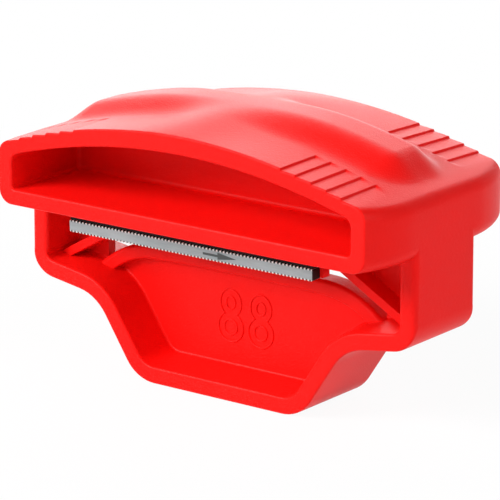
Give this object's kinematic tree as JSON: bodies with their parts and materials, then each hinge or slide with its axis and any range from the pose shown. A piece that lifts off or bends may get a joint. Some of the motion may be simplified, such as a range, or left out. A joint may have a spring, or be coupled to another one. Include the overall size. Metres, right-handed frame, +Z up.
{
  "type": "ski edge tuning tool",
  "caption": "Hand-held guide that files the side edge of a ski or snowboard at a fixed angle, with a toothed file bar held on a magnetic seat.",
  "frame": {"origin": "bottom centre of the bounding box, on the ground under the middle of the foot", "axes": "+Z up, +X along the file, -Y toward the side where the ski lies"},
  "size_m": [0.123, 0.06, 0.0759],
  "materials": {
    "red_plastic": "fine satin texture",
    "file_steel": "ground",
    "black_magnet": "matt"
  },
  "bodies": {
    "guide": {"body": "red_plastic", "magnet_strip": "black_magnet"},
    "file": {"file_bar": "file_steel"}
  },
  "joints": [
    {"name": "file_bar_off", "type": "slide", "parent": "guide", "child": "file", "axis": [0, -0.9994, -0.0349], "range_m": [0, 0.03]}
  ]
}
